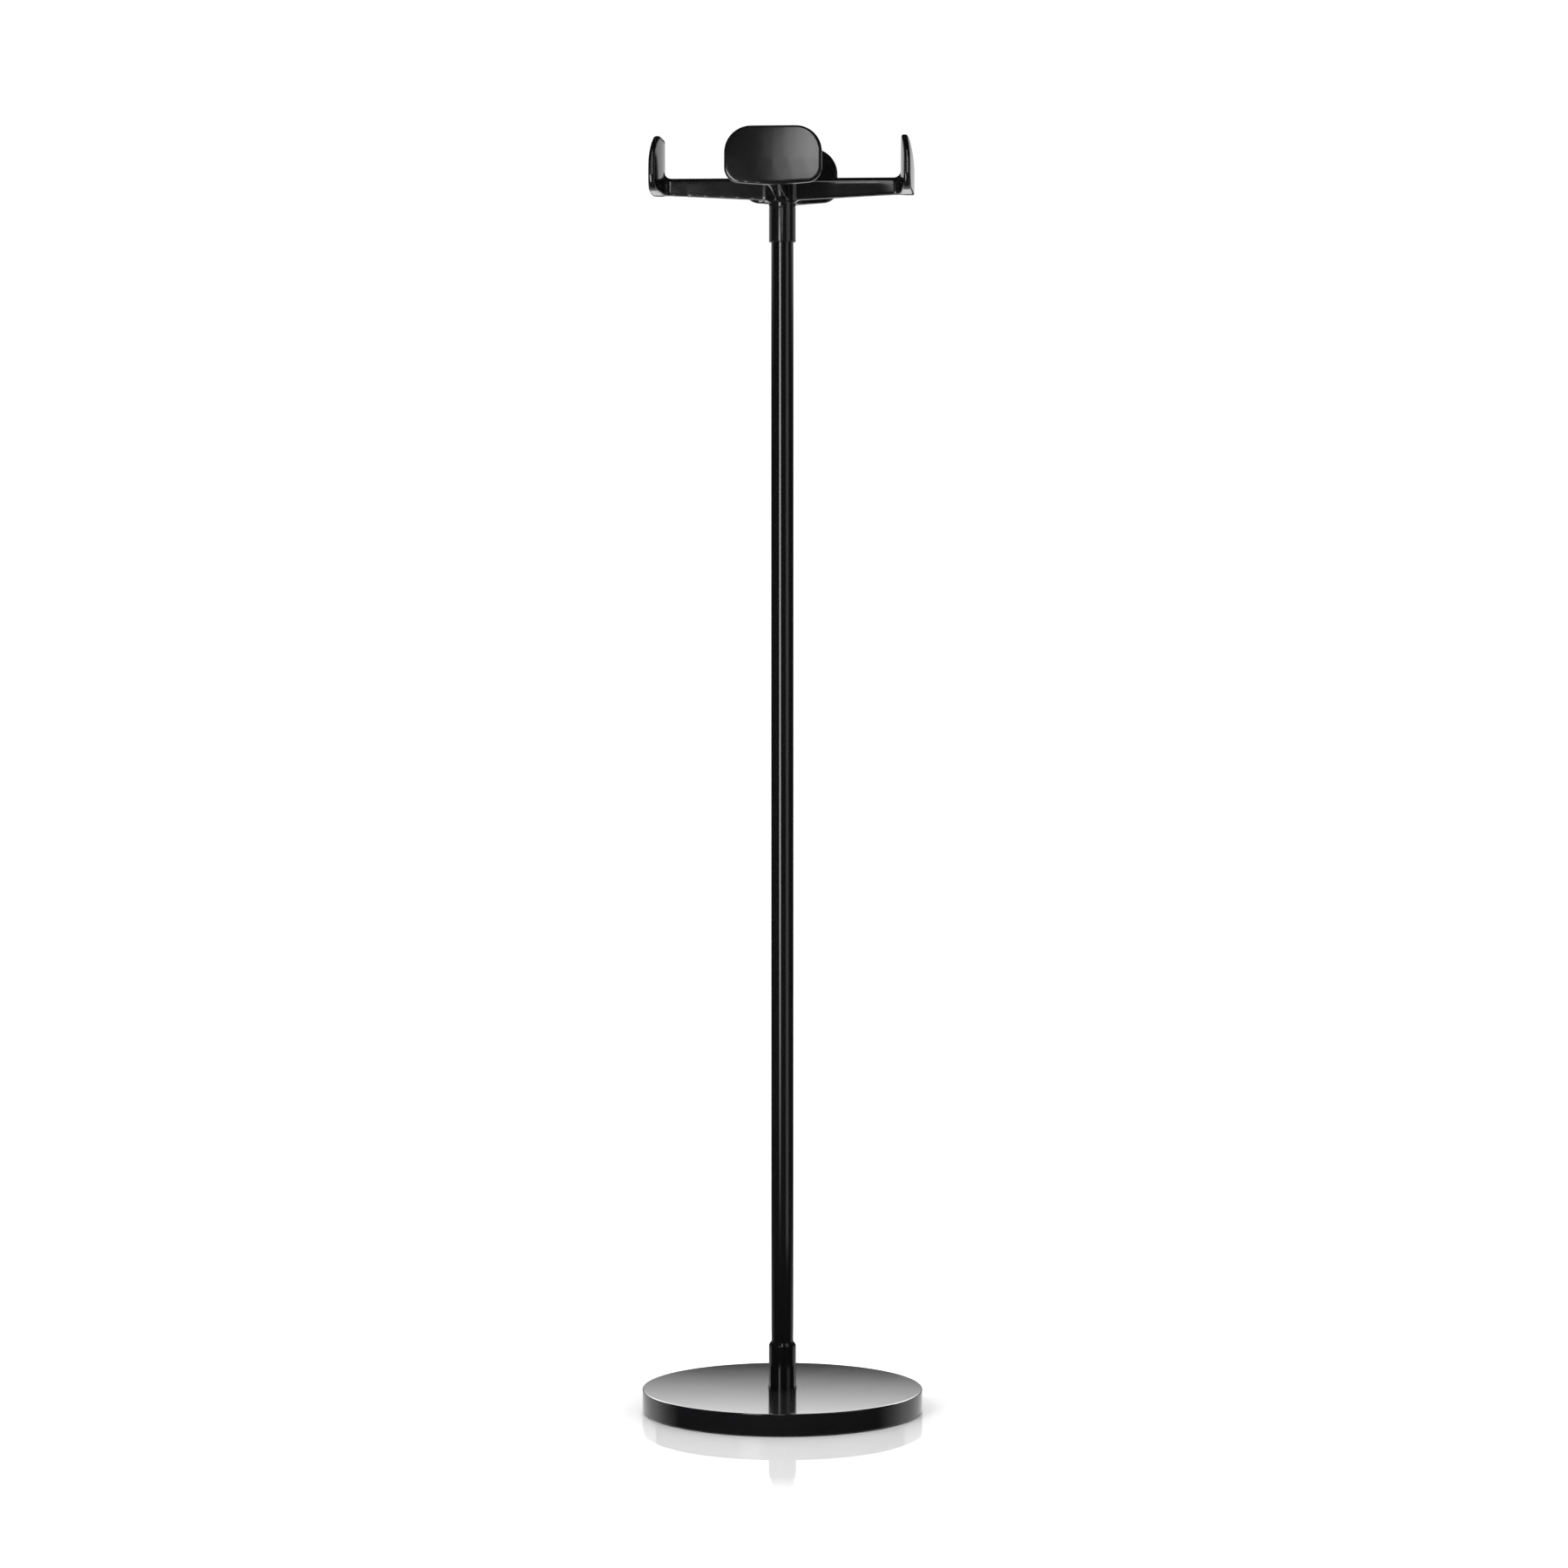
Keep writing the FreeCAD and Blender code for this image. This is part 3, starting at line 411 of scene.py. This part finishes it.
def taper_arms(mesh):
    """Draws the arms' sides in towards the bottom, as a casting has to be to leave its mould."""
    hub, root = 0.02, 0.148
    hub_blend, root_blend = 0.06, 0.02
    for vertex in mesh.vertices:
        spot = vertex.co
        along, across = (0, 1) if abs(spot.x) > abs(spot.y) else (1, 0)
        reach = abs(spot[along])
        share = min((reach - hub) / hub_blend, (root - reach) / root_blend, 1.0)
        below = ARM_TOP - spot.z
        if share > 0 and below > 0:
            spot[across] *= 1 - share * below * ARM_DRAFT / ARM_HALF


def true_stem(mesh):
    """Puts the stem's outer wall back on an exact cylinder."""
    for vertex in mesh.vertices:
        radius = math.hypot(vertex.co.x, vertex.co.y)
        if vertex.co.z < STEM_TOP and abs(radius - STEM_RADIUS) < STEM_SLACK:
            vertex.co.x *= STEM_RADIUS / radius
            vertex.co.y *= STEM_RADIUS / radius


def round_paddles(piece):
    """Softens the paddles' rims further than the rest."""
    paddles = piece.vertex_groups.new(name="paddles")
    beyond = [vertex.index for vertex in piece.data.vertices
              if max(abs(vertex.co.x), abs(vertex.co.y)) > PADDLE_START]
    paddles.add(beyond, 1.0, "REPLACE")
    soften(piece, RIM_PASSES, paddles.name)
    work_in_modifiers(piece)
    piece.vertex_groups.clear()


def make_casting(materials):
    """The head casting, resurfaced so that paint softens its edges."""
    piece = bpy.data.objects.new("cast_head", frame["nodes"]["head_casting"].data.copy())
    bpy.context.collection.objects.link(piece)
    resurface = piece.modifiers.new("resurface", "REMESH")
    resurface.mode = "VOXEL"
    resurface.voxel_size = CASTING_GRAIN
    soften(piece, SOFTEN_PASSES)
    work_in_modifiers(piece)
    taper_arms(piece.data)
    true_stem(piece.data)
    round_paddles(piece)
    piece.data.shade_smooth()
    piece.data.materials.clear()
    piece.data.materials.append(materials["black_casting"])
    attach(piece, "head")
    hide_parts("head_casting")


# ---------------------------------------------------------------- stage
def floor_material():
    """White paper with a sheet of glossy acrylic let into it in front of the base."""
    material, tree, shader, place = new_material("floor_paper")
    grain = noise(tree, place, 30.0)
    feed(tree, shader.inputs["Base Color"], mix_colours(tree, grain, PAPER_DARK, PAPER_LIGHT))
    shader.inputs["Roughness"].default_value = 0.8
    shader.inputs["Specular IOR Level"].default_value = 0.0
    acrylic = mix_colours(tree, grain, ACRYLIC_DARK, ACRYLIC_LIGHT)
    glossy = add_node(tree, "ShaderNodeBsdfPrincipled", Roughness=0.03, Base_Color=acrylic)
    backward = add_node(tree, "ShaderNodeSeparateXYZ", Vector=place).outputs["Y"]
    in_front = remap(tree, backward, *ACRYLIC_FROM_BEHIND)
    length = tree.nodes.new("ShaderNodeVectorMath")
    length.operation = "LENGTH"
    feed(tree, length.inputs[0], place)
    near = remap(tree, length.outputs["Value"], *ACRYLIC_FROM_ROUND)
    sheet = combine(tree, "MULTIPLY", in_front, near)
    surface = tree.nodes["Material Output"].inputs["Surface"]
    feed(tree, surface, mix_shaders(tree, sheet, shader, glossy))
    return material


def make_floor():
    """A sheet from in front of the rack to well behind it, left out of the rack's reflections."""
    ahead, behind, side = -1.6, 6.0, 4.0
    mesh = bpy.data.meshes.new("floor")
    corners = [(-side, ahead, 0), (side, ahead, 0), (side, behind, 0), (-side, behind, 0)]
    mesh.from_pydata(corners, [], [(0, 1, 2, 3)])
    mesh.materials.append(floor_material())
    floor = bpy.data.objects.new("floor", mesh)
    bpy.context.collection.objects.link(floor)
    floor.visible_glossy = False
    return floor


def fill_ramp(ramp, stops):
    """Sets a ramp's stops from (sine of elevation, grey) pairs."""
    while len(ramp.elements) < len(stops):
        ramp.elements.new(0.5)
    for element, (rise, grey) in zip(ramp.elements, stops):
        element.position = (rise + 1) / 2
        element.color = (grey, grey, grey, 1)


def room_radiance(tree):
    """Dim room that glows only beyond the rack."""
    place = tree.nodes.new("ShaderNodeTexCoord").outputs["Generated"]
    parts = add_node(tree, "ShaderNodeSeparateXYZ", Vector=place)
    beyond = remap(tree, parts.outputs["Y"], 0.0, 0.5)
    height = remap(tree, parts.outputs["Z"], -1.0, 1.0)
    ramp = add_node(tree, "ShaderNodeValToRGB", Fac=height)
    fill_ramp(ramp.color_ramp, ROOM_GLOW)
    glow = combine(tree, "MULTIPLY", beyond, ramp.outputs["Color"])
    return combine(tree, "ADD", glow, ROOM_DARK)


def make_world():
    """White backdrop for the camera's own rays, and the room for all others."""
    world = bpy.data.worlds.new("studio")
    bpy.context.scene.world = world
    world.use_nodes = True
    tree = world.node_tree
    tree.nodes.clear()
    room = add_node(tree, "ShaderNodeBackground", Color=(1, 1, 1), Strength=room_radiance(tree))
    backdrop = add_node(tree, "ShaderNodeBackground", Color=(1, 1, 1), Strength=BACKDROP)
    ray = tree.nodes.new("ShaderNodeLightPath").outputs["Is Camera Ray"]
    surface = tree.nodes.new("ShaderNodeOutputWorld").inputs["Surface"]
    feed(tree, surface, mix_shaders(tree, ray, room, backdrop))


def light_only(holder, target):
    """Lets a light reach nothing but the target."""
    receivers = bpy.data.collections.new(holder.name + "_lights")
    receivers.objects.link(target)
    holder.light_linking.receiver_collection = receivers


def add_light(name, place, bearing, width, height, radiance):
    """Upright softbox of that radiance; it faces the far side at a bearing of 0 and turns from there."""
    light = bpy.data.lights.new(name, "AREA")
    light.shape = "RECTANGLE"
    light.size = width
    light.size_y = height
    light.energy = radiance * width * height * WATTS_PER_RADIANCE
    holder = bpy.data.objects.new(name, light)
    bpy.context.collection.objects.link(holder)
    holder.location = place
    holder.rotation_euler = (math.radians(90), 0, math.radians(bearing))
    holder.visible_camera = False
    return holder


def upright_light(name, bearing, away, low, high, width, radiance):
    """Softbox that faces the pole; bearing is in degrees from -Y towards +X."""
    angle = math.radians(bearing)
    place = (away * math.sin(angle), -away * math.cos(angle), (low + high) / 2)
    return add_light(name, place, bearing, width, high - low, radiance)


def back_card(name, away, low, high, radiance, target):
    """Wide card behind the rack that faces the front and lights one thing."""
    card = add_light(name, (0, away, (low + high) / 2), 180, CARD_WIDTH, high - low, radiance)
    light_only(card, target)
    return card


def fade(holder, side, start, full):
    """Dims a softbox towards one edge; start and full are shares of its width (X) or height (Y)."""
    light = holder.data
    light.use_nodes = True
    tree = light.node_tree
    place = tree.nodes.new("ShaderNodeNewGeometry").outputs["Parametric"]
    parts = add_node(tree, "ShaderNodeSeparateXYZ", Vector=place)
    share = remap(tree, parts.outputs[side], start, full)
    feed(tree, tree.nodes["Emission"].inputs["Strength"], share)


def overhead_sun(floor):
    """Very soft light from above, on the floor only."""
    sun = bpy.data.lights.new("overhead", "SUN")
    sun.energy = SUN_STRENGTH
    sun.angle = SUN_SPREAD
    holder = bpy.data.objects.new("overhead", sun)
    bpy.context.collection.objects.link(holder)
    light_only(holder, floor)


def make_lights(floor):
    """Strip to the left of the camera, broad box to the right, high box in front, and cards behind."""
    strip = upright_light(
        "strip_left", bearing=-20.0, away=1.5, low=0.02, high=1.72, width=0.38, radiance=9.0)
    fade(strip, "Y", 0.0, 0.37)
    upright_light("broad_right", bearing=56.0, away=1.3, low=0.02, high=1.9, width=0.72, radiance=0.85)
    high_front = upright_light(
        "high_front", bearing=0.2, away=3.2, low=1.86, high=4.6, width=0.6, radiance=5.8)
    fade(high_front, "X", 0.0, 0.55)
    head = bpy.data.objects["cast_head"]
    cover = bpy.data.objects["cover_shell"]
    back_card("under_card", away=1.1, low=1.05, high=1.55, radiance=0.35, target=head)
    disc_card = back_card("disc_card", away=0.62, low=0.115, high=0.835, radiance=17.0, target=cover)
    fade(disc_card, "Y", 0.0, 1.0)
    back_card("floor_card", away=0.62, low=0.0, high=0.6, radiance=1.0, target=floor)
    overhead_sun(floor)


def make_camera():
    """The camera that was fitted to the photograph."""
    camera = bpy.data.cameras.new("camera")
    camera.lens = LENS_MM
    camera.sensor_width = 36
    camera.clip_start = 0.1
    camera.clip_end = 60
    holder = bpy.data.objects.new("camera", camera)
    bpy.context.collection.objects.link(holder)
    bpy.context.scene.camera = holder
    holder.location = (
        CAMERA_AWAY * math.sin(CAMERA_TURN), -CAMERA_AWAY * math.cos(CAMERA_TURN), EYE_HEIGHT)
    holder.rotation_euler = (math.pi / 2 - CAMERA_TILT, 0, CAMERA_TURN - CAMERA_AIM)


def set_view():
    """Plain display, so that white stays white."""
    view = bpy.context.scene.view_settings
    view.view_transform = "Standard"
    view.look = "None"
    view.exposure = 0
    view.gamma = 1


materials = make_materials()
paint_cad_nodes(materials)
make_cover(materials)
make_foot_ring(materials)
make_seat_ring(materials)
make_socket(materials)
make_pole(materials)
make_cap(materials)
make_casting(materials)
floor = make_floor()
make_world()
make_lights(floor)
make_camera()
set_view()
